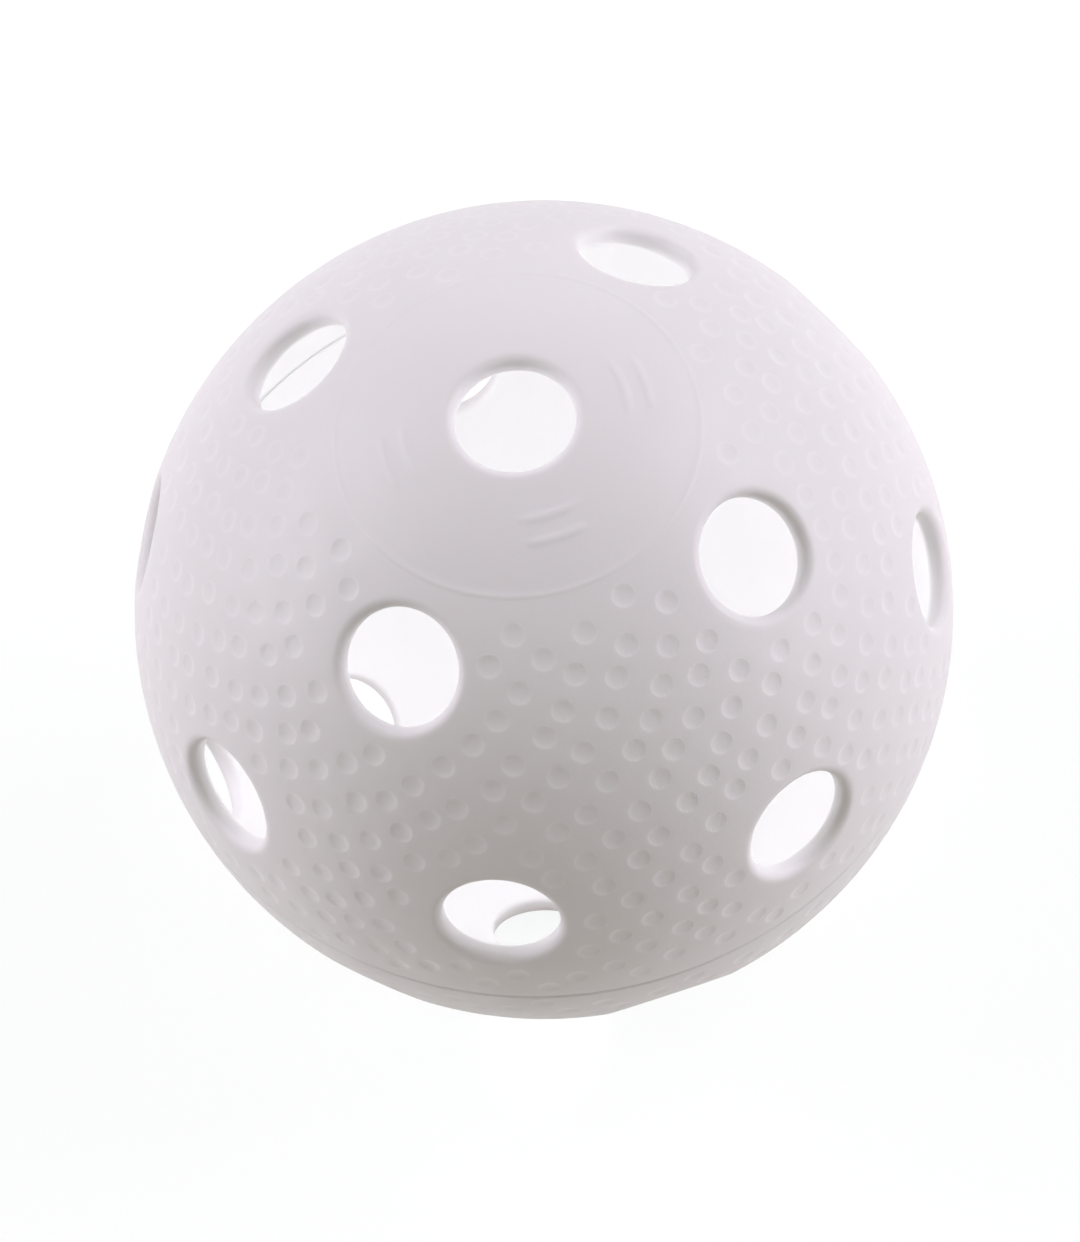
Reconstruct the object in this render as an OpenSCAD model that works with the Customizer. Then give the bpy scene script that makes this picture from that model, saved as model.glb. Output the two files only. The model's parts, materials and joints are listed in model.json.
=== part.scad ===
// Floorball ball: two moulded half shells with air holes, welded rim to rim into one hollow ball.
// +Z runs along the pole axis, through both pole holes. The origin is the centre of the ball.

/* [Ball] */
// Outside diameter of the ball
ball_d = 72; // [60:0.5:80]
// Thickness of the shell wall
wall = 1.8; // [1.5:0.1:2.4]

/* [Air holes] */
// Diameter of every air hole
hole_d = 9.6; // [8:0.1:11.6]
// Rounding of a hole's outer edge
hole_edge_r = 0.8; // [0.2:0.05:1]
// Holes in the ring round the pole hole
inner_ring_count = 4; // [3:1:5]
// Angle from the pole to the inner ring of holes, in degrees
inner_ring_angle = 36; // [34:0.5:38]
// Holes in the ring beside the seam
outer_ring_count = 8; // [6:1:9]
// Angle from the pole to the outer ring of holes, in degrees
outer_ring_angle = 71; // [69:0.5:73]

/* [Pole cap] */
// Angle from the pole to the raised line round the smooth cap, in degrees
cap_angle = 24; // [22:0.5:25]
// Width of the raised line
cap_line_w = 0.5; // [0.3:0.1:0.8]
// Height of the raised line
cap_line_h = 0.1; // [0.05:0.05:0.2]

/* [Dimples] */
// Width of a dimple at the surface
dimple_d = 2.2; // [1.6:0.1:2.7]
// Depth of a dimple
dimple_depth = 0.15; // [0.1:0.05:0.3]
// Distance between neighbouring dimples
dimple_pitch = 3.4; // [3.2:0.1:5]
// Distance of each dimple from its even place
dimple_scatter = 0.3; // [0:0.05:0.4]
// Smooth land left between a dimple and a hole, the cap line or the seam
dimple_land = 0.2; // [0.1:0.1:1.5]

/* [Weld seam] */
// Thickness of the tongue on the lower half's rim
tongue_w = 0.6; // [0.4:0.05:0.75]
// Height of the tongue
tongue_h = 0.8; // [0.5:0.1:1.2]
// Clearance between the tongue and its groove, on each face
tongue_clearance = 0.05; // [0.02:0.01:0.1]
// Width of the seam's V groove on each half
seam_w = 0.3; // [0.2:0.05:0.5]
// Depth of the seam's V groove
seam_depth = 0.25; // [0.1:0.05:0.4]

/* [Hidden] */
$fn = 96;

ball_r = ball_d / 2;
inner_r = ball_r - wall;
mid_r = ball_r - wall / 2;
hole_r = hole_d / 2;

// Both halves come from the same kind of mould, and each is turned a quarter of the outer ring's
// pitch its own way, so that the holes on the two sides of the seam alternate
outer_pitch = 360 / outer_ring_count;
inner_pitch = 360 / inner_ring_count;
half_turn = outer_pitch / 4;

// The rounding of a hole's edge crests this far under the ball's surface
crest_drop = 0.03;
crest_x = hole_r + hole_edge_r;
crest_y = sqrt(ball_r ^ 2 - crest_x ^ 2) - crest_drop;
// Cutters run this far past the surfaces that they cut, and a hole cutter starts well inside the ball
past = 1;
tool_low = inner_r - hole_r;

// The raised line is the part of a fine ring that stands out of the surface
cap_ring_r = (cap_line_w ^ 2 / 4 + cap_line_h ^ 2) / (2 * cap_line_h);
cap_ring_sink = cap_ring_r - cap_line_h;

// A dimple is a bite of a ball of this radius, and its cutter is a little wider than the bite
dimple_ball_r = (dimple_d ^ 2 / 4 + dimple_depth ^ 2) / (2 * dimple_depth);
dimple_lip = 0.02;

// Dimples follow a golden-angle spiral from the cap line to the seam, one to each equal share of area,
// and lie scattered a little about its steps, within the room that the closest neighbours leave
golden_angle = 180 * (3 - sqrt(5));
closest_share = 0.883;
scatter = min(dimple_scatter, max(0, closest_share * dimple_pitch - dimple_d) / 2);
dimple_reach = dimple_d / 2 + dimple_land;
belt_top = cap_angle + degrees_of(cap_line_w / 2 + dimple_reach + scatter);
belt_low = 90 - degrees_of(seam_w + dimple_reach + scatter);
belt_area = 2 * PI * ball_r ^ 2 * (cos(belt_top) - cos(belt_low));
spiral_count = floor(belt_area / (dimple_pitch ^ 2 * sqrt(3) / 2));

// Directions of the holes of one half, as [angle from the pole, angle round the pole]
HOLES = concat(
    [[0, 0]],
    [for (i = [0 : inner_ring_count - 1]) [inner_ring_angle, i * inner_pitch]],
    [for (i = [0 : outer_ring_count - 1]) [outer_ring_angle, (i + 0.5) * outer_pitch]]
);
DIMPLES = [for (i = [0 : spiral_count - 1]) if (clear_of_holes(spiral_step(i))) spiral_step(i)];

// Angle that a length along the surface spans at the centre
function degrees_of(length) = length / ball_r * 180 / PI;

// Unit vector towards a direction on the ball
function towards(dir) = [sin(dir[0]) * cos(dir[1]), sin(dir[0]) * sin(dir[1]), cos(dir[0])];

// Even place of step i of the spiral: its angle from the pole shares out the belt's area
function even_step(i) = [
    acos(cos(belt_top) - (i + 0.5) / spiral_count * (cos(belt_top) - cos(belt_low))),
    i * golden_angle
];

// Step i moved off its even place, in a direction that turns with the square of its number
function spiral_step(i) =
    let (even = even_step(i), turn = i ^ 2 * golden_angle, shift = degrees_of(scatter))
    [even[0] + shift * cos(turn), even[1] + shift * sin(turn) / sin(even[0])];

// Whether a dimple leaves its land beside every hole
function clear_of_holes(dir) =
    max([for (hole = HOLES) towards(hole) * towards(dir)]) < cos(degrees_of(crest_x + dimple_reach));

// Stands a shape that is built along +Z in a direction on the ball
module stand(dir) {
    rotate([0, 0, dir[1]])
        rotate([0, dir[0], 0])
            children();
}

// Section through the wall of one half, from the pole to the weld rim
module wall_section() {
    intersection() {
        difference() {
            union() {
                circle(ball_r);
                rotate(90 - cap_angle)
                    translate([ball_r - cap_ring_sink, 0])
                        circle(cap_ring_r);
            }
            circle(inner_r);
            polygon([
                [ball_r - seam_depth, 0],
                [ball_r + past, 0],
                [ball_r + past, seam_w * (1 + past / seam_depth)]
            ]);
        }
        square(ball_r + past);
    }
}

// Section of a strip in the middle of the weld rim
module rim_strip(width, low, high) {
    translate([mid_r - width / 2, low])
        square([width, high - low]);
}

// Section of the space that one hole takes out of the wall, with the rounding of its outer edge
module hole_section() {
    difference() {
        translate([0, tool_low])
            square([crest_x + hole_edge_r, ball_r + past - tool_low]);
        translate([hole_r, tool_low])
            square([2 * hole_edge_r, crest_y - hole_edge_r - tool_low]);
        translate([crest_x, tool_low])
            square([hole_edge_r, crest_y - tool_low]);
        translate([crest_x, crest_y - hole_edge_r])
            circle(hole_edge_r);
    }
}

// Section of one dimple's bite
module dimple_section() {
    intersection() {
        translate([0, ball_r - dimple_depth + dimple_ball_r])
            circle(dimple_ball_r);
        translate([0, ball_r - past])
            square([dimple_d / 2 + dimple_lip, 2 * past]);
    }
}

module air_holes() {
    for (dir = HOLES)
        stand(dir)
            rotate_extrude()
                hole_section();
}

module dimples() {
    for (dir = DIMPLES)
        stand(dir)
            rotate_extrude()
                dimple_section();
}

module upper_half() {
    color("whitesmoke")
        rotate([0, 0, -half_turn])
            difference() {
                rotate_extrude()
                    difference() {
                        wall_section();
                        rim_strip(tongue_w + 2 * tongue_clearance, -past, tongue_h + tongue_clearance);
                    }
                air_holes();
                dimples();
            }
}

module lower_half() {
    color("whitesmoke")
        rotate([0, 180, half_turn])
            difference() {
                rotate_extrude()
                    union() {
                        wall_section();
                        rim_strip(tongue_w, -tongue_h, past);
                    }
                air_holes();
                dimples();
            }
}

upper_half();
lower_half();
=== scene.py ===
"""Floorball ball on a plain pale floor: two dimpled half shells with air holes, welded rim to rim.

The ball's sizes are in millimetres and degrees, and its meshes are written in metres. The studio's sizes
are in metres. Each half shell is one closed surface made of polar grids, one round each air hole, which
meet along shared lines on the ball.
"""

import json
import logging
import math
from dataclasses import dataclass, field
from enum import Enum

import bpy
import numpy as np
from mathutils import Matrix, Vector


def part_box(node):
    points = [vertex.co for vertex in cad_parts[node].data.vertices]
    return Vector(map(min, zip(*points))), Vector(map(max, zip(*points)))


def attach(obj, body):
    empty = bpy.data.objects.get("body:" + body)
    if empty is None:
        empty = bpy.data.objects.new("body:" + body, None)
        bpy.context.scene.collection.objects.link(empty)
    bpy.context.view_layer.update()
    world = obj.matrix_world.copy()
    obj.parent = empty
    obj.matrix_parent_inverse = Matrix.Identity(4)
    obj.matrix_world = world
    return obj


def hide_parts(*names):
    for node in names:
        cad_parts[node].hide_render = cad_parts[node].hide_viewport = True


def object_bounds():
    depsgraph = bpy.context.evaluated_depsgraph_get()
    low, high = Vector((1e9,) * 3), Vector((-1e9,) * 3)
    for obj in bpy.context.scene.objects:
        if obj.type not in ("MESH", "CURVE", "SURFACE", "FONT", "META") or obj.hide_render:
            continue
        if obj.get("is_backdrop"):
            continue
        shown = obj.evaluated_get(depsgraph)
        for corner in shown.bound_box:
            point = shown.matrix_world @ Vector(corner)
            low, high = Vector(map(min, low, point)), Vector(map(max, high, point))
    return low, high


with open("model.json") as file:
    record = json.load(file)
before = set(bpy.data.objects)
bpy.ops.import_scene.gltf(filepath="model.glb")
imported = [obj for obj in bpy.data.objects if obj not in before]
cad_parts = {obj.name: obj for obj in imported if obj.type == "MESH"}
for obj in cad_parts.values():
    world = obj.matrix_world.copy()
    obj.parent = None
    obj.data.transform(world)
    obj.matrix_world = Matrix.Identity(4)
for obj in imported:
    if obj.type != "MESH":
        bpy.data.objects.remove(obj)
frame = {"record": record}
CAD_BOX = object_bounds()

MM = 0.001
SIZE_DECIMALS = 3
PHOTO_W = 1080
PHOTO_H = 1242
DIMPLE_FIELD = "dimple_share"
EVERY_POINT = 1
EVERY_SECOND = 2

Colour = tuple[float, float, float, float]
Socket = bpy.types.NodeSocket

log = logging.getLogger("floorball")


class Side(Enum):
    """The two halves of the ball, by the CAD node that each one stands for."""

    UPPER = "upper_half"
    LOWER = "lower_half"


def direction(polar: float | np.ndarray, azimuth: float | np.ndarray) -> np.ndarray:
    """Unit vectors from the angle to the pole and the angle round it, both in radians.

    z is the cosine of the angle to the pole, and x and y are its sine times the cosine and the sine of the
    angle round the pole.

    Args:
        polar: angle from +Z.
        azimuth: angle round +Z from +X.

    Returns:
        An array whose last axis holds x, y and z.
    """
    polar, azimuth = np.broadcast_arrays(polar, azimuth)
    flat = np.sin(polar)
    return np.stack([flat * np.cos(azimuth), flat * np.sin(azimuth), np.cos(polar)], axis=-1)


def angle_of(cosine: np.ndarray) -> np.ndarray:
    """Angles in radians from their cosines, which rounding may have carried just past 1."""
    return np.arccos(np.clip(cosine, -1, 1))


def add_object(name: str, data: bpy.types.ID) -> bpy.types.Object:
    """Makes an object and puts it into the scene.

    Args:
        name: the object's name.
        data: its mesh, lamp or camera.

    Returns:
        The object.
    """
    made = bpy.data.objects.new(name, data)
    bpy.context.scene.collection.objects.link(made)
    return made


@dataclass(frozen=True)
class BallSizes:
    """Driving sizes of the ball, in millimetres and degrees."""

    ball_r: float
    hole_r: float
    wall: float = 1.8
    outer_edge_r: float = 0.8
    inner_edge_r: float = 0.5
    inner_ring_count: int = 4
    inner_ring_angle: float = 36.0
    outer_ring_count: int = 8
    outer_ring_angle: float = 71.0
    cap_angle: float = 24.0
    cap_line_w: float = 0.5
    cap_line_h: float = 0.035
    dimple_d: float = 2.2
    dimple_pitch: float = 3.4
    dimple_scatter: float = 0.3
    dimple_land: float = 0.2
    tongue_w: float = 0.6
    tongue_h: float = 0.8
    tongue_clearance: float = 0.05
    seam_w: float = 0.3
    seam_depth: float = 0.25
    seam_band: float = 0.5

    @property
    def inner_r(self) -> float:
        """Radius of the inside of the wall."""
        return self.ball_r - self.wall

    @property
    def mid_r(self) -> float:
        """Radius of the middle of the wall."""
        return self.ball_r - self.wall / 2

    @property
    def half_turn(self) -> float:
        """Turn of each half from its mould's own zero: a quarter of the outer ring's pitch, in degrees."""
        return 360 / self.outer_ring_count / 4

    @property
    def seam_polar(self) -> float:
        """Angle from the pole, in radians, at which the smooth band beside the seam starts."""
        return math.acos(self.seam_band / self.ball_r)

    @property
    def cap_foot(self) -> float:
        """Angle from the pole, in radians, of the outer foot of the cap's raised line."""
        return math.radians(self.cap_angle) + self.cap_line_w / 2 / self.ball_r

    @property
    def hole_directions(self) -> np.ndarray:
        """Unit vectors to the air holes of one half, pole hole first.

        Returns:
            An array of one row per hole, in the half's own frame with its pole along +Z.
        """
        inner = np.arange(self.inner_ring_count) * 2 * np.pi / self.inner_ring_count
        outer = (np.arange(self.outer_ring_count) + 0.5) * 2 * np.pi / self.outer_ring_count
        return np.vstack([
            direction(0.0, 0.0)[None],
            direction(math.radians(self.inner_ring_angle), inner),
            direction(math.radians(self.outer_ring_angle), outer),
        ])


class DimpleField:
    """Dimples scattered about a golden-angle spiral between the cap line and the seam.

    BASIN is a dimple's depth in the mesh, in millimetres. FAR is the distance given to every place well
    clear of a dimple, as a share of a dimple's radius. CHUNK is how many points are measured at a time.
    """

    BASIN = 0.07
    FAR = 2.0
    CHUNK = 20000

    def __init__(self, sizes: BallSizes) -> None:
        """Places the dimples.

        Args:
            sizes: the ball's sizes.
        """
        self.sizes = sizes
        self.centres = self.place()

    def place(self) -> np.ndarray:
        """Directions of the dimples that keep clear of every hole.

        Step i of the spiral lies at the angle whose cap holds i + 1/2 shares of the belt's area, turned by
        i golden angles. Each dimple lies off its step by one length, in a direction of i squared golden
        angles.

        Returns:
            An array of unit vectors, one row per dimple.
        """
        s = self.sizes
        reach = s.dimple_d / 2 + s.dimple_land
        top = math.cos(s.cap_foot + (reach + s.dimple_scatter) / s.ball_r)
        low = math.sin((s.seam_w + reach + s.dimple_scatter) / s.ball_r)
        share = s.dimple_pitch ** 2 * math.sqrt(3) / 2
        count = math.floor(2 * math.pi * s.ball_r ** 2 * (top - low) / share)
        step = np.arange(count)
        golden = math.pi * (3 - math.sqrt(5))
        polar = np.arccos(top - (step + 0.5) / count * (top - low))
        aside = step ** 2 * golden
        shift = s.dimple_scatter / s.ball_r
        turn = step * golden + shift * np.sin(aside) / np.sin(polar)
        spiral = direction(polar + shift * np.cos(aside), turn)
        nearest = (spiral @ s.hole_directions.T).max(axis=1)
        return spiral[nearest < math.cos((s.hole_r + s.outer_edge_r + reach) / s.ball_r)]

    def away(self, towards: np.ndarray) -> np.ndarray:
        """Distance from the middle of the nearest dimple, as a share of a dimple's radius.

        Args:
            towards: unit vectors, one row per point.

        Returns:
            One share per row: 0 in the middle of a dimple, 1 on its lip, and FAR at most.
        """
        angle = np.empty(len(towards))
        for start in range(0, len(towards), self.CHUNK):
            block = slice(start, start + self.CHUNK)
            angle[block] = angle_of((towards[block] @ self.centres.T).max(axis=1))
        return np.minimum(angle * self.sizes.ball_r / (self.sizes.dimple_d / 2), self.FAR)

    def depth(self, away: np.ndarray) -> np.ndarray:
        """Depth of a dimple's basin: its full depth times the square of 1 less the square of the share.

        Args:
            away: shares of a dimple's radius.

        Returns:
            One depth per share, in millimetres.
        """
        return self.BASIN * np.maximum(1 - away ** 2, 0) ** 2


@dataclass(frozen=True)
class CapMarks:
    """Plain raised bars on the smooth cap, in millimetres and degrees.

    A pair lies midway between each two holes of the inner ring, but for one gap, which stays bare.
    """

    polars: tuple[float, ...] = (14.4, 17.4)
    bare_gap: int = 1
    length: float = 4.6
    width: float = 0.6
    height: float = 0.08
    edge: float = 0.3

    def near(self, polar: np.ndarray, sizes: BallSizes) -> np.ndarray:
        """Whether angles from the pole, in radians, lie on a bar or beside one."""
        off = np.abs(polar - np.radians(self.polars)[:, None]) * sizes.ball_r
        return off.min(axis=0) < self.width / 2 + self.edge

    def rise(self, towards: np.ndarray, sizes: BallSizes) -> np.ndarray:
        """Height of the bars over the ball's own sphere.

        Each bar is a capsule along a parallel of the cap: its height falls off in a smooth step with the
        distance from the bar's middle line.

        Args:
            towards: unit vectors, one row per point.
            sizes: the ball's sizes.

        Returns:
            One height per row, in millimetres.
        """
        pitch = 2 * np.pi / sizes.inner_ring_count
        polar = angle_of(towards[:, 2])
        turn = np.mod(np.arctan2(towards[:, 1], towards[:, 0]), 2 * np.pi)
        gap, off = np.divmod(turn, pitch)
        off -= pitch / 2
        out = np.zeros(len(towards))
        for angle in np.radians(self.polars):
            along = np.abs(off) * sizes.ball_r * math.sin(angle)
            past_end = np.maximum(along - (self.length - self.width) / 2, 0)
            away = np.hypot(past_end, (polar - angle) * sizes.ball_r)
            t = np.clip((self.width / 2 + self.edge / 2 - away) / self.edge, 0, 1)
            out += self.height * t * t * (3 - 2 * t)
        return np.where(gap == self.bare_gap, 0, out)


class Patchwork:
    """Points and faces of one surface, collected as rings of points and the strips between them.

    Points that agree to WELD_DECIMALS decimals of a millimetre become one.
    """

    WELD_DECIMALS = 7

    def __init__(self) -> None:
        """Starts with nothing."""
        self.points: list[np.ndarray] = []
        self.faces: list[np.ndarray] = []
        self.away: list[np.ndarray] = []
        self.count = 0

    def ring(self, points: np.ndarray, away: np.ndarray | None = None) -> np.ndarray:
        """Adds one closed ring of points.

        Args:
            points: one row per point.
            away: each point's distance from a dimple, if it may lie in one.

        Returns:
            The points' numbers.
        """
        numbers = np.arange(self.count, self.count + len(points))
        self.points.append(points)
        self.away.append(np.full(len(points), DimpleField.FAR) if away is None else away)
        self.count += len(points)
        return numbers

    def strip(self, first: np.ndarray, second: np.ndarray) -> None:
        """Joins two closed rings with a band of faces, which turn left from the first ring to the second.

        Args:
            first: numbers of a ring's points.
            second: numbers of a ring with as many points, or half as many.
        """
        if len(first) == len(second):
            ahead = np.roll(first, -1)
            self.faces.append(np.stack([first, ahead, np.roll(second, -1), second], axis=1))
            return
        even = first[0::2]
        odd = first[1::2]
        after = np.roll(even, -1)
        ahead = np.roll(second, -1)
        self.faces.append(np.stack([even, odd, second], axis=1))
        self.faces.append(np.stack([odd, after, ahead], axis=1))
        self.faces.append(np.stack([odd, ahead, second], axis=1))

    def rings(self, rows: list[np.ndarray], away: list[np.ndarray] | None = None) -> None:
        """Adds rings in order and joins each to the next.

        Args:
            rows: the points of each ring.
            away: distances from a dimple of the first rings' points.
        """
        known = away or []
        numbers = [self.ring(row, known[i] if i < len(known) else None) for i, row in enumerate(rows)]
        for first, second in zip(numbers, numbers[1:]):
            self.strip(first, second)

    def mesh(self, name: str, turn: np.ndarray) -> bpy.types.Mesh:
        """Welds the points that lie on each other and writes the mesh.

        Args:
            name: the mesh's name.
            turn: rotation from the half's own frame to the ball's frame.

        Returns:
            The mesh, in metres.
        """
        points = np.vstack(self.points)
        places = np.round(points, self.WELD_DECIMALS)
        _, kept, welded = np.unique(places, axis=0, return_index=True, return_inverse=True)
        welded = welded.reshape(-1)
        mesh = bpy.data.meshes.new(name)
        faces = [face for block in self.faces for face in welded[block].tolist()]
        mesh.from_pydata((points[kept] @ turn.T * MM).tolist(), [], faces)
        share = mesh.attributes.new(DIMPLE_FIELD, "FLOAT", "POINT")
        share.data.foreach_set("value", np.concatenate(self.away)[kept])
        mesh.shade_smooth()
        return mesh


@dataclass
class Cell:
    """The share of the shell round one air hole: the hole's axis, and the share's outline on the ball.

    Both are unit vectors, and the outline has one row per point.
    """

    axis: np.ndarray
    outline: np.ndarray
    polar: np.ndarray = field(init=False)
    across: np.ndarray = field(init=False)

    def __post_init__(self) -> None:
        """Works out each outline point's angle from the axis and its sideways direction."""
        cosine = np.clip(self.outline @ self.axis, -1, 1)
        self.polar = np.arccos(cosine)
        sideways = self.outline - cosine[:, None] * self.axis
        self.across = sideways / np.linalg.norm(sideways, axis=1)[:, None]

    def towards(self, polar: np.ndarray, step: int) -> np.ndarray:
        """Unit vectors at given angles from the axis, one for each outline point.

        Each is the angle's cosine along the axis and its sine along the point's sideways direction.

        Args:
            polar: the angles, in radians.
            step: EVERY_POINT or EVERY_SECOND.

        Returns:
            One row per point.
        """
        return np.cos(polar)[:, None] * self.axis + np.sin(polar)[:, None] * self.across[::step]

    def circle(self, radius: float, height: float, step: int) -> np.ndarray:
        """A circle round the axis: the height along the axis and the radius sideways.

        Args:
            radius: its radius.
            height: its height along the axis.
            step: EVERY_POINT or EVERY_SECOND.

        Returns:
            One row per point.
        """
        return height * self.axis + radius * self.across[::step]


@dataclass
class HalfShell:
    """One moulded half of the ball, as a closed surface with its holes, dimples, cap and weld rim.

    The spacings are those of the grid, in millimetres. A cell's rows keep every point from its outline down
    to full_rows, as a share of the way out from the hole. The shoulder is the row beside the seam's groove,
    in widths of the groove. A length is rounded to STEP_DECIMALS decimals of a step, so that the cells on
    both sides of a line divide it alike, and ROW_SAMPLES is how finely the rows of the pole's cell are
    worked out.
    """

    STEP_DECIMALS = 4
    ROW_SAMPLES = 400

    side: Side
    sizes: BallSizes
    dimples: DimpleField
    marks: CapMarks = field(default_factory=CapMarks)
    spacing: float = 0.385
    mark_spacing: float = 0.18
    line_rows: int = 8
    full_rows: float = 0.5
    edge_rows: int = 7
    bore_rows: int = 2
    inner_edge_rows: int = 3
    inner_spacing: float = 1.4
    shoulder: float = 1.25

    def steps(self, length: float) -> int:
        """An even number of grid steps for a length on the ball's surface."""
        return 2 * max(1, math.ceil(round(length / self.spacing / 2, self.STEP_DECIMALS)))

    def arc(self, start: np.ndarray, end: np.ndarray) -> np.ndarray:
        """Points of a great-circle arc, without its end.

        Each is a spherical blend of the two ends: they are weighted by the sine of the angle to the other
        end, over the sine of the whole angle.

        Args:
            start: unit vector.
            end: unit vector.

        Returns:
            One row per point.
        """
        angle = math.acos(float(np.clip(start @ end, -1, 1)))
        count = self.steps(angle * self.sizes.ball_r)
        t = np.arange(count) / count
        weights = np.stack([np.sin((1 - t) * angle), np.sin(t * angle)], axis=1) / math.sin(angle)
        return weights @ np.vstack([start, end])

    def turns(self, polar: float, first: float, last: float) -> np.ndarray:
        """Angles round the pole of an arc at a constant angle from it, without the arc's end.

        Args:
            polar: angle from the pole, in radians.
            first: angle round the pole of the start.
            last: angle round the pole of the end.

        Returns:
            One angle per point, in even steps.
        """
        count = self.steps(abs(last - first) * math.sin(polar) * self.sizes.ball_r)
        return first + (last - first) * np.arange(count) / count

    def parallel(self, polar: float, first: float, last: float) -> np.ndarray:
        """Points of an arc at a constant angle from the pole, without its end."""
        return direction(polar, self.turns(polar, first, last))

    def cells(self) -> list[Cell]:
        """Divides the half among its holes.

        The pole's cell ends at the foot of the cap line. The others meet on lines midway between
        neighbouring holes, and the outer ring's cells, twice as many as the inner ring's, end at the band
        beside the seam. A corner lies where an inner hole and the nearest outer hole are equally far: the
        tangent of its angle from the pole is the difference of the two holes' heights over the difference
        of their reaches towards the corner.

        Returns:
            A cell for each hole, with outlines that turn left seen from outside.
        """
        s = self.sizes
        inner = math.radians(s.inner_ring_angle)
        outer = math.radians(s.outer_ring_angle)
        inner_half = math.pi / s.inner_ring_count
        outer_half = math.pi / s.outer_ring_count
        drop = math.cos(inner) - math.cos(outer)
        reach = math.sin(outer) * math.cos(outer_half)
        between = math.atan2(drop, reach - math.sin(inner) * math.cos(inner_half))
        below = math.atan2(drop, reach - math.sin(inner))
        holes = s.hole_directions
        middles = 2 * inner_half * np.arange(s.inner_ring_count)
        cap = [self.parallel(s.cap_foot, middle - inner_half, middle + inner_half) for middle in middles]
        found = [Cell(holes[0], np.vstack(cap))]
        for i, middle in enumerate(middles):
            west = middle - inner_half
            east = middle + inner_half
            south = direction(below, middle)
            found.append(Cell(holes[1 + i], np.vstack([
                self.parallel(s.cap_foot, east, west),
                self.arc(direction(s.cap_foot, west), direction(between, west)),
                self.arc(direction(between, west), south),
                self.arc(south, direction(between, east)),
                self.arc(direction(between, east), direction(s.cap_foot, east)),
            ])))
        for i in range(s.outer_ring_count):
            west = 2 * outer_half * i
            east = west + 2 * outer_half
            north_west = direction(between if i % 2 else below, west)
            north_east = direction(below if i % 2 else between, east)
            found.append(Cell(holes[1 + s.inner_ring_count + i], np.vstack([
                self.arc(north_east, north_west),
                self.arc(north_west, direction(s.seam_polar, west)),
                self.parallel(s.seam_polar, west, east),
                self.arc(direction(s.seam_polar, east), north_east),
            ])))
        return found

    def relief(self, towards: np.ndarray, away: np.ndarray) -> np.ndarray:
        """Radius of the outer surface: the ball's own, less the dimples, plus the marks and the cap line.

        The cap line is the part of a fine ring that stands out of the surface: an arc over its width.

        Args:
            towards: unit vectors, one row per point.
            away: each point's distance from the nearest dimple.

        Returns:
            One radius per row.
        """
        s = self.sizes
        ring_r = (s.cap_line_w ** 2 / 4 + s.cap_line_h ** 2) / (2 * s.cap_line_h)
        off = (angle_of(towards[:, 2]) - math.radians(s.cap_angle)) * s.ball_r
        line = np.sqrt(np.maximum(ring_r ** 2 - off ** 2, 0)) - (ring_r - s.cap_line_h)
        return s.ball_r + np.maximum(line, 0) + self.marks.rise(towards, s) - self.dimples.depth(away)

    def fractions(self, cell: Cell, crest: float) -> np.ndarray:
        """Places of the rows of a cell's outer surface, from its outline at 1 to the hole's edge at 0.

        The rows are even, but in the pole's cell they are close over the cap line and over the bars. There
        each small step in counts for its length over the spacing at its place, and a row lies wherever the
        sum passes a whole number.

        Args:
            cell: the cell.
            crest: angle from the hole's axis of the crest of the hole's edge.

        Returns:
            One place per row.
        """
        s = self.sizes
        span = float(np.mean(cell.polar)) - crest
        if cell.axis[2] < 1:
            return np.linspace(1, 0, self.steps(span * s.ball_r) + 1)
        line = s.cap_line_w / s.ball_r / span
        place = np.linspace(1 - line, 0, self.ROW_SAMPLES)
        gaps = np.where(self.marks.near(crest + place * span, s), self.mark_spacing, self.spacing)
        passed = np.cumsum(span * s.ball_r * (place[0] - place[1]) / gaps)
        rows = np.interp(np.arange(1, math.ceil(passed[-1])), passed, place)
        return np.concatenate([1 - np.linspace(0, line, self.line_rows), rows, [0.0]])

    def outer_rows(self, cell: Cell, crest: float) -> tuple[list[np.ndarray], list[np.ndarray]]:
        """Points of a cell's outer surface.

        A point lies its row's share of the way from the crest of the hole's edge to the outline, at the
        radius of the relief there. Every second point is left out where the rows draw together.

        Args:
            cell: the cell.
            crest: angle from the hole's axis of the crest.

        Returns:
            The points of each row, and their distances from the nearest dimple.
        """
        share = self.fractions(cell, crest)
        rows: list[np.ndarray] = []
        away: list[np.ndarray] = []
        full = share > self.full_rows
        for part, step in ((share[full], EVERY_POINT), (share[~full], EVERY_SECOND)):
            polar = crest + np.outer(part, cell.polar[::step] - crest)
            towards = np.stack([cell.towards(row, step) for row in polar])
            off = self.dimples.away(towards.reshape(-1, 3))
            radius = self.relief(towards.reshape(-1, 3), off).reshape(polar.shape)
            rows += list(towards * radius[..., None])
            away += list(off.reshape(polar.shape))
        return rows, away

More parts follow.
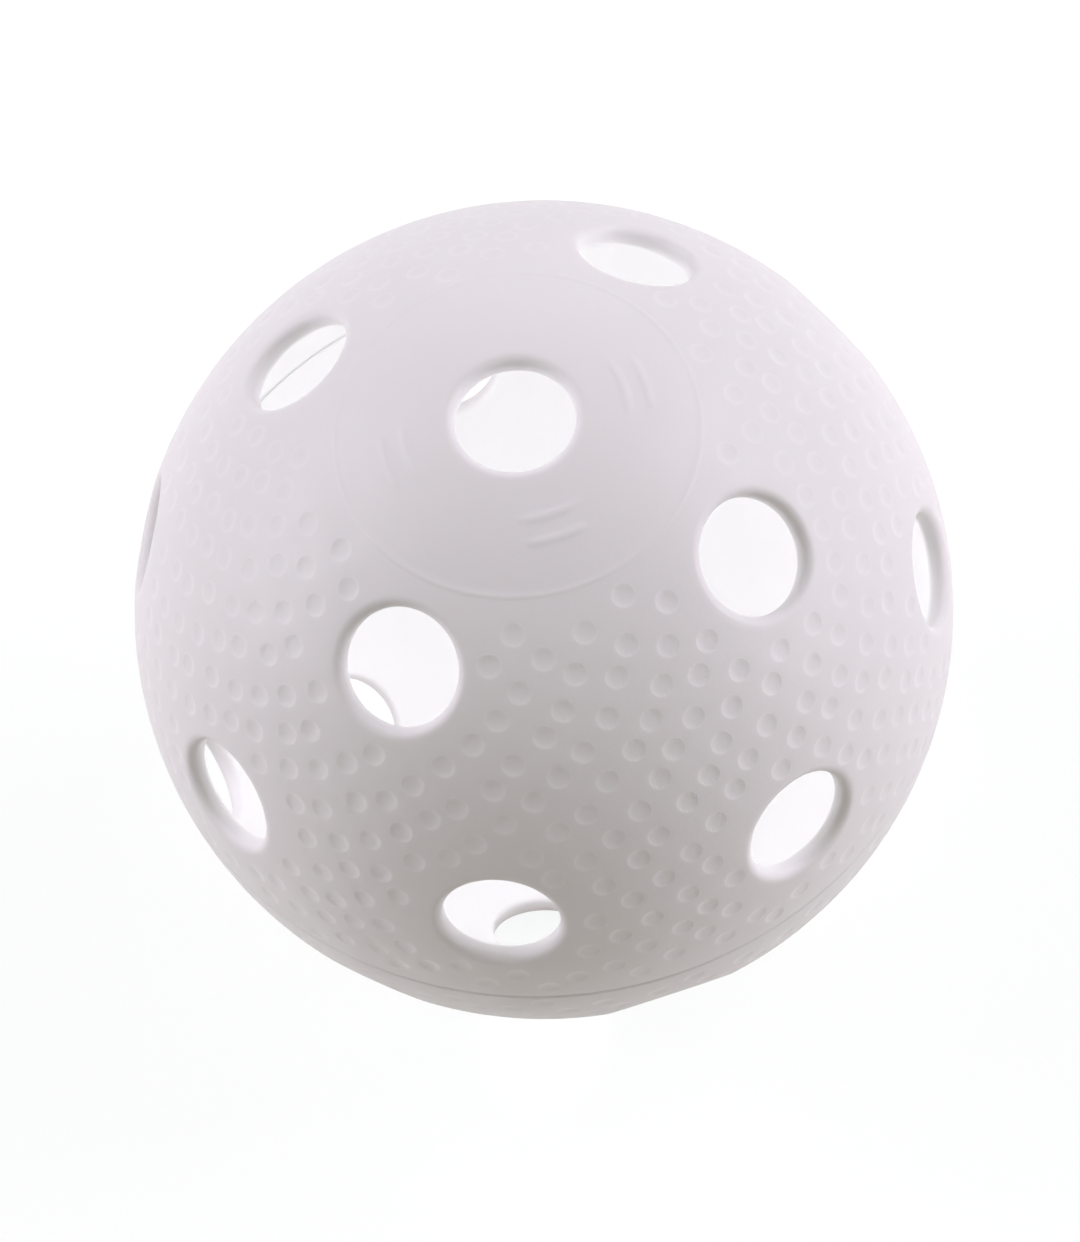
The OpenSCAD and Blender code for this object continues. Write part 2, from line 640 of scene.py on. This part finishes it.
    def add_cell(self, work: Patchwork, cell: Cell) -> None:
        """Adds a cell: its outer surface, the rounded edge of the hole, the bore, and the inner surface.

        The profile runs in from the outline to the hole, round the edge on an arc, down the bore, round the
        inner edge and out again along the inside. It is carried round the hole's axis.

        Args:
            work: takes the points and faces.
            cell: the cell.
        """
        s = self.sizes
        edge_x = s.hole_r + s.outer_edge_r
        edge_y = math.sqrt((s.ball_r - s.outer_edge_r) ** 2 - edge_x ** 2)
        crest = math.atan2(edge_x, edge_y)
        back_x = s.hole_r + s.inner_edge_r
        back_y = math.sqrt((s.inner_r + s.inner_edge_r) ** 2 - back_x ** 2)
        heel = math.atan2(back_x, back_y)
        rows, away = self.outer_rows(cell, crest)
        over = np.linspace(crest, -math.pi / 2, self.edge_rows + 1)[1:]
        under = np.linspace(-math.pi / 2, heel - math.pi, self.inner_edge_rows + 1)
        heights = np.linspace(edge_y, back_y, self.bore_rows + 1)[1:-1]
        profile = np.vstack([
            np.array([edge_x, edge_y]) + s.outer_edge_r * np.stack([np.sin(over), np.cos(over)], axis=1),
            np.stack([np.full(len(heights), s.hole_r), heights], axis=1),
            np.array([back_x, back_y]) + s.inner_edge_r * np.stack([np.sin(under), np.cos(under)], axis=1),
        ])
        rows += [cell.circle(radius, height, EVERY_SECOND) for radius, height in profile]
        reach = cell.polar[::EVERY_SECOND] - heel
        steps = max(2, math.ceil(float(np.mean(reach)) * s.inner_r / self.inner_spacing))
        for t in np.linspace(0, 1, steps + 1)[1:]:
            rows.append(s.inner_r * cell.towards(heel + reach * t, EVERY_SECOND))
        work.rings(rows, away)

    def add_rim(self, work: Patchwork) -> None:
        """Adds the weld rim: a profile carried round the pole axis.

        The profile runs from the smooth band into the seam's groove, across the rim over its tongue or
        groove, and up the inside.

        Args:
            work: takes the points and faces.
        """
        s = self.sizes
        pitch = 2 * math.pi / s.outer_ring_count
        ahead = [self.turns(s.seam_polar, pitch * i, pitch * (i + 1)) for i in range(s.outer_ring_count)]
        turns = np.roll(np.concatenate(ahead)[::-1], 1)
        strip = s.tongue_w / 2
        height = -s.tongue_h
        if self.side is Side.UPPER:
            strip += s.tongue_clearance
            height = s.tongue_h + s.tongue_clearance
        band = (s.seam_band, s.seam_w * self.shoulder, s.seam_w)
        fine = [(math.sqrt(s.ball_r ** 2 - z ** 2), z) for z in band]
        fine += [(s.ball_r - s.seam_depth / 2, s.seam_w / 2), (s.ball_r - s.seam_depth, 0.0)]
        coarse = [(s.mid_r + strip, 0.0), (s.mid_r + strip, height), (s.mid_r - strip, height)]
        coarse += [(s.mid_r - strip, 0.0), (s.inner_r, 0.0)]
        coarse.append((s.inner_r * math.sin(s.seam_polar), s.inner_r * math.cos(s.seam_polar)))

        def circle(radius: float, z: float, step: int) -> np.ndarray:
            """A circle round the pole axis."""
            some = turns[::step]
            return np.stack([radius * np.cos(some), radius * np.sin(some), np.full(len(some), z)], axis=1)

        rows = [circle(x, z, EVERY_POINT) for x, z in fine]
        rows += [circle(x, z, EVERY_SECOND) for x, z in coarse]
        work.rings(rows)

    def build(self) -> bpy.types.Object:
        """Makes the half in the place of its CAD node.

        Returns:
            The object, which rides on the ball's one body.
        """
        s = self.sizes
        work = Patchwork()
        for cell in self.cells():
            self.add_cell(work, cell)
        self.add_rim(work)
        turn = Matrix.Rotation(math.radians(-s.half_turn), 3, "Z")
        if self.side is Side.LOWER:
            turn = Matrix.Rotation(math.radians(s.half_turn), 3, "Z") @ Matrix.Rotation(math.pi, 3, "Y")
        name = self.side.value + "_shell"
        piece = add_object(name, work.mesh(name, np.array(turn)))
        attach(piece, "root")
        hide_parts(self.side.value)
        return piece

    def dress(self, piece: bpy.types.Object, material: bpy.types.Material) -> None:
        """Gives the half its finish.

        Args:
            piece: the half's object.
            material: its plastic.
        """
        piece.data.materials.append(material)


class Nodes:
    """A small helper that adds shader nodes to one tree and links them.

    A Mix node has several inputs and outputs of one name, so its colours go by their numbers.
    """

    MIX_COLOURS = (6, 7)
    MIX_RESULT = 2

    def __init__(self, tree: bpy.types.NodeTree) -> None:
        """Empties the tree.

        Args:
            tree: the material's or world's node tree.
        """
        self.tree = tree
        tree.nodes.clear()

    def feed(self, socket: Socket, source: object) -> None:
        """Links an input to another socket, or sets it to a constant.

        Args:
            socket: the input.
            source: the socket that feeds it, or the constant.
        """
        if isinstance(source, Socket):
            self.tree.links.new(source, socket)
        else:
            socket.default_value = source

    def add(self, kind: str, *sources: object, **values: object) -> bpy.types.Node:
        """Adds a node.

        Args:
            kind: the node's type.
            sources: what feeds its first inputs, in their order.
            values: node properties, and what feeds inputs by their names, with spaces as underscores.

        Returns:
            The node.
        """
        node = self.tree.nodes.new(kind)
        for socket, source in zip(node.inputs, sources):
            self.feed(socket, source)
        # Where several inputs share a name, the first is meant
        named = {socket.name.replace(" ", "_"): socket for socket in reversed(list(node.inputs))}
        for key, value in values.items():
            if key in named:
                self.feed(named[key], value)
            else:
                setattr(node, key, value)
        return node

    def calculate(self, operation: str, first: object, second: object) -> Socket:
        """One number worked out from two, each a constant or a socket."""
        return self.add("ShaderNodeMath", first, second, operation=operation).outputs[0]

    def mix(self, share: Socket, first: object, second: object) -> Socket:
        """Blends two colours.

        Args:
            share: the second colour's share.
            first: a colour, or the socket of one.
            second: a colour, or the socket of one.

        Returns:
            The blend.
        """
        node = self.add("ShaderNodeMix", share, data_type="RGBA")
        for number, colour in zip(self.MIX_COLOURS, (first, second)):
            self.feed(node.inputs[number], colour)
        return node.outputs[self.MIX_RESULT]

    def seen_directly(self) -> Socket:
        """Whether a ray comes from the camera, a reflection or a transparent pass.

        Returns:
            A socket that holds 1 on such rays and 0 on the rest.
        """
        path = self.add("ShaderNodeLightPath").outputs
        first = self.calculate("MAXIMUM", path["Is Camera Ray"], path["Is Glossy Ray"])
        return self.calculate("MAXIMUM", first, path["Is Transmission Ray"])


@dataclass(frozen=True)
class ShellPlastic:
    """Satin white polyethylene, a little translucent, with faint clouds, fine grain and a few specks.

    A dimple's bump is a bowl that steepens from its flat middle to a crisp rim. Its rim is painted a little
    paler, a painted highlight that stands in for light on the dimple's walls. The wall's start and the rim
    are shares of a dimple's radius. Depths are in millimetres, and the scales of the patterns are per
    metre.
    """

    name: str
    light: Colour = (0.90, 0.87, 0.90, 1.0)
    dull: Colour = (0.87, 0.845, 0.865, 1.0)
    cloud_scale: float = 70.0
    cloud_detail: float = 4.0
    cloud_roughness: float = 0.55
    # Painted highlight: the paler colour put on the dimples' rims to stand in for light on their walls
    rim_highlight_paint: Colour = (0.925, 0.897, 0.922, 1.0)
    wall_depth: float = 0.05
    wall_from: float = 0.34
    rim_at: float = 0.87
    rim_to: float = 0.99
    speck: Colour = (0.42, 0.38, 0.38, 1.0)
    speck_scale: float = 85.0
    speck_from: float = 0.93
    speck_size: float = 0.035
    roughness: tuple[float, float] = (0.40, 0.52)
    patch_scale: float = 240.0
    patch_detail: float = 3.0
    patch_range: tuple[float, float] = (0.3, 0.7)
    grain_scale: float = 2600.0
    grain_detail: float = 2.0
    grain_strength: float = 0.12
    grain_depth: float = 0.06
    soft: float = 0.5
    soft_radius: tuple[float, float, float] = (1.0, 0.95, 0.92)
    soft_depth: float = 0.6

    def material(self) -> bpy.types.Material:
        """Builds the material on object coordinates and on the distance from a dimple.

        Returns:
            The material.
        """
        made = bpy.data.materials.new(self.name)
        made.use_nodes = True
        n = Nodes(made.node_tree)
        place = n.add("ShaderNodeTexCoord").outputs["Object"]
        away = n.add("ShaderNodeAttribute", attribute_name=DIMPLE_FIELD).outputs["Fac"]
        bowl = self.bowl(n, away)
        plastic = n.add(
            "ShaderNodeBsdfPrincipled",
            Base_Color=self.specked(n, place, self.paint_rim_highlight(n, away, bowl, self.clouded(n, place))),
            Roughness=self.gloss(n, place),
            Normal=self.relief(n, place, bowl),
            Subsurface_Weight=self.soft,
            Subsurface_Radius=self.soft_radius,
            Subsurface_Scale=self.soft_depth * MM,
        )
        n.add("ShaderNodeOutputMaterial", plastic.outputs["BSDF"])
        return made

    def bowl(self, n: Nodes, away: Socket) -> Socket:
        """Height of a dimple's bowl: the square of the way out from the wall's start to the rim."""
        out = n.add("ShaderNodeMapRange", away, From_Min=self.wall_from, From_Max=self.rim_at).outputs[0]
        return n.calculate("MULTIPLY", out, out)

    def clouded(self, n: Nodes, place: Socket) -> Socket:
        """Faint clouds of the light and the dull white.

        Args:
            n: the material's nodes.
            place: object coordinates.

        Returns:
            The colour.
        """
        cloud = n.add("ShaderNodeTexNoise", place, Scale=self.cloud_scale, Detail=self.cloud_detail,
                      Roughness=self.cloud_roughness)
        return n.mix(cloud.outputs["Fac"], self.light, self.dull)

    def paint_rim_highlight(self, n: Nodes, away: Socket, bowl: Socket, colour: Socket) -> Socket:
        """Paints a highlight on the rims of the dimples, a paler colour: as the bowl climbs to its rim, and
        back to nothing past it.

        Args:
            n: the material's nodes.
            away: distance from a dimple.
            bowl: height of the dimple's bowl.
            colour: the plastic's colour.

        Returns:
            The colour with its painted rim highlights.
        """
        past = n.add("ShaderNodeMapRange", away, From_Min=self.rim_at, From_Max=self.rim_to,
                     To_Min=1.0, To_Max=0.0)
        # Painted highlight: the rims are mixed towards a paler colour
        return n.mix(n.calculate("MULTIPLY", bowl, past.outputs[0]), colour, self.rim_highlight_paint)

    def specked(self, n: Nodes, place: Socket, colour: Socket) -> Socket:
        """Adds small dark specks, one in the middle of a few of the cells of a scattered pattern.

        Args:
            n: the material's nodes.
            place: object coordinates.
            colour: the plastic's colour.

        Returns:
            The colour with its specks.
        """
        spots = n.add("ShaderNodeTexVoronoi", place, Scale=self.speck_scale)
        chance = n.add("ShaderNodeSeparateColor", spots.outputs["Color"]).outputs["Red"]
        size = n.add("ShaderNodeMapRange", chance, From_Min=self.speck_from, To_Max=self.speck_size)
        inside = n.calculate("LESS_THAN", spots.outputs["Distance"], size.outputs[0])
        return n.mix(inside, colour, self.speck)

    def gloss(self, n: Nodes, place: Socket) -> Socket:
        """Roughness that wanders in patches between its two values.

        Args:
            n: the material's nodes.
            place: object coordinates.

        Returns:
            The roughness.
        """
        patch = n.add("ShaderNodeTexNoise", place, Scale=self.patch_scale, Detail=self.patch_detail)
        low, high = self.patch_range
        smooth, rough = self.roughness
        return n.add("ShaderNodeMapRange", patch.outputs["Fac"], From_Min=low, From_Max=high,
                     To_Min=smooth, To_Max=rough).outputs[0]

    def relief(self, n: Nodes, place: Socket, bowl: Socket) -> Socket:
        """Bump of the dimples' bowls, and of a fine grain over them.

        Args:
            n: the material's nodes.
            place: object coordinates.
            bowl: height of the dimple's bowl.

        Returns:
            The normal.
        """
        lip = n.add("ShaderNodeBump", Height=bowl, Strength=1.0, Distance=self.wall_depth * MM)
        grain = n.add("ShaderNodeTexNoise", place, Scale=self.grain_scale, Detail=self.grain_detail)
        bump = n.add("ShaderNodeBump", Height=grain.outputs["Fac"], Normal=lip.outputs["Normal"],
                     Strength=self.grain_strength, Distance=self.grain_depth * MM)
        return bump.outputs["Normal"]


def from_angles(azimuth: float, elevation: float) -> Vector:
    """Unit vector towards a camera or lamp.

    Args:
        azimuth: angle round the ball, from -Y towards +X, in degrees.
        elevation: angle over the floor, in degrees.

    Returns:
        The vector.
    """
    a = math.radians(azimuth)
    e = math.radians(elevation)
    return Vector((math.sin(a) * math.cos(e), -math.cos(a) * math.cos(e), math.sin(e)))


@dataclass(frozen=True)
class Softbox:
    """A wide soft lamp that faces the ball; level is how bright it makes white card turned to it."""

    name: str
    azimuth: float
    elevation: float
    level: float
    colour: tuple[float, float, float] = (0.985, 0.945, 1.07)
    distance: float = 0.8
    width: float = 0.6
    height: float = 0.4

    def add(self) -> None:
        """Hangs the lamp. Its power is its level times the square of pi times its distance."""
        data = bpy.data.lights.new(self.name, "AREA")
        data.shape = "RECTANGLE"
        data.size = self.width
        data.size_y = self.height
        data.color = self.colour
        data.energy = self.level * math.pi ** 2 * self.distance ** 2
        out = from_angles(self.azimuth, self.elevation)
        facing = out.to_track_quat("Z", "Y").to_matrix().to_4x4()
        add_object(self.name, data).matrix_world = Matrix.Translation(out * self.distance) @ facing


@dataclass(frozen=True)
class InnerLamp:
    """A soft lamp in the middle of the ball, which keeps the inside as white as it is in the photograph."""

    name: str = "inner_lamp"
    level: float = 0.303
    colour: tuple[float, float, float] = (0.92, 1.0, 0.94)
    radius: float = 0.006

    def add(self, wall_r: float) -> None:
        """Hangs the lamp. Its power is its level times the square of two pi times the wall's radius.

        Args:
            wall_r: radius of the inside of the wall, in metres.
        """
        data = bpy.data.lights.new(self.name, "POINT")
        data.shadow_soft_size = self.radius
        data.color = self.colour
        data.energy = self.level * 4 * math.pi ** 2 * wall_r ** 2
        lamp = add_object(self.name, data)
        lamp.visible_camera = False
        lamp.visible_glossy = False


@dataclass
class Studio:
    """The plain floor, the soft light and the camera.

    The camera's distance is in ball radii. The ball's outline and centre are in the photograph's pixels.
    """

    sizes: BallSizes
    azimuth: float = 23.71
    elevation: float = 64.16
    roll: float = 8.56
    distance_r: float = 7.937
    clip_start: float = 0.01
    outline_px: float = 409.55
    centre_px: tuple[float, float] = (544.0, 609.6)
    floor_half: float = 3.0
    floor_colour: Colour = (0.88, 0.85, 0.80, 1.0)
    floor_white: Colour = (0.98, 1.0, 1.01, 1.0)
    floor_glow: float = 1.18
    floor_share: float = 0.7
    fill: Colour = (0.107, 0.108, 0.046, 1.0)
    backdrop: Colour = (1.0, 1.0, 1.0, 1.0)
    boxes: tuple[Softbox, ...] = (
        Softbox("right_high_softbox", 130.0, 40.0, 0.413),
        Softbox("right_low_softbox", 100.0, 18.0, 0.35),
        Softbox("left_high_softbox", 270.0, 40.0, 0.387),
        Softbox("left_low_softbox", 290.0, 18.0, 0.30),
        Softbox("back_softbox", 195.0, 18.0, 0.155),
    )
    inner: InnerLamp = InnerLamp()

    def camera(self) -> None:
        """Sets the camera where the fitted pinhole stood, rolled as the photograph is.

        The focal length in pixels is the outline's radius times the square root of d squared less one,
        where d is the distance in ball radii. The sensor's width lies along the picture's long side.
        """
        r = math.radians(self.roll)
        back = from_angles(self.azimuth, self.elevation)
        level = Vector((0, 0, 1)).cross(back).normalized()
        rise = back.cross(level)
        right = level * math.cos(r) - rise * math.sin(r)
        up = level * math.sin(r) + rise * math.cos(r)
        data = bpy.data.cameras.new("photo_camera")
        focal_px = self.outline_px * math.sqrt(self.distance_r ** 2 - 1)
        data.lens = focal_px * data.sensor_width / PHOTO_H
        data.shift_x = (PHOTO_W / 2 - self.centre_px[0]) / PHOTO_H
        data.shift_y = (self.centre_px[1] - PHOTO_H / 2) / PHOTO_H
        data.clip_start = self.clip_start
        place = Matrix((right, up, back)).transposed().to_4x4()
        place.translation = back * self.distance_r * self.sizes.ball_r * MM
        eye = add_object("photo_camera", data)
        eye.matrix_world = place
        bpy.context.scene.camera = eye

    def floor(self) -> None:
        """Lays a flat pale floor under the ball, white to the camera where no shadow falls.

        To the camera its material is plain white by floor_share, and matt for the rest, which takes the
        shadow. To all other light it is matt.
        """
        low = min(CAD_BOX[0][2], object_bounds()[0][2])
        h = self.floor_half
        mesh = bpy.data.meshes.new("floor")
        mesh.from_pydata([(-h, -h, low), (h, -h, low), (h, h, low), (-h, h, low)], [], [(0, 1, 2, 3)])
        made = bpy.data.materials.new("studio_floor")
        made.use_nodes = True
        n = Nodes(made.node_tree)
        matt = n.add("ShaderNodeBsdfDiffuse", self.floor_colour)
        white = n.add("ShaderNodeEmission", self.floor_white, self.floor_glow)
        share = n.calculate("MULTIPLY", n.seen_directly(), self.floor_share)
        both = n.add("ShaderNodeMixShader", share, matt.outputs[0], white.outputs[0])
        n.add("ShaderNodeOutputMaterial", both.outputs[0])
        mesh.materials.append(made)
        add_object("floor", mesh)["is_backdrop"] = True

    def light(self) -> None:
        """Hangs soft lamps on both sides and inside the ball, with a little fill from all round."""
        for lamp in self.boxes:
            lamp.add()
        self.inner.add(self.sizes.inner_r * MM)
        world = bpy.data.worlds.new("studio_light")
        bpy.context.scene.world = world
        world.use_nodes = True
        n = Nodes(world.node_tree)
        fill = n.add("ShaderNodeBackground", self.fill)
        white = n.add("ShaderNodeBackground", self.backdrop)
        both = n.add("ShaderNodeMixShader", n.seen_directly(), fill.outputs[0], white.outputs[0])
        n.add("ShaderNodeOutputWorld", both.outputs[0])
        bpy.context.scene.view_settings.view_transform = "Standard"


def ball_sizes() -> BallSizes:
    """Reads the ball's radius and its holes from the frame.

    A half is widest where the seam's groove opens, the groove's width away from the rim.

    Returns:
        The sizes, whose other values are the mould's own.
    """
    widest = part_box(Side.UPPER.value)[1][0] / MM
    bore = frame["record"]["mounts"][0]["dims"]["r_mm"]
    return BallSizes(ball_r=round(math.hypot(widest, BallSizes.seam_w), SIZE_DECIMALS), hole_r=bore)


def main() -> None:
    """Builds the ball and the studio, in order."""
    logging.basicConfig(level=logging.INFO, format="%(name)s: %(message)s")
    sizes = ball_sizes()
    dimples = DimpleField(sizes)
    for side in Side:
        half = HalfShell(side, sizes, dimples)
        piece = half.build()
        half.dress(piece, ShellPlastic(side.value + "_plastic").material())
        log.info("%s: %d faces, %d dimples", piece.name, len(piece.data.polygons), len(dimples.centres))
    studio = Studio(sizes)
    studio.floor()
    studio.light()
    studio.camera()


if __name__ == "__main__":
    main()
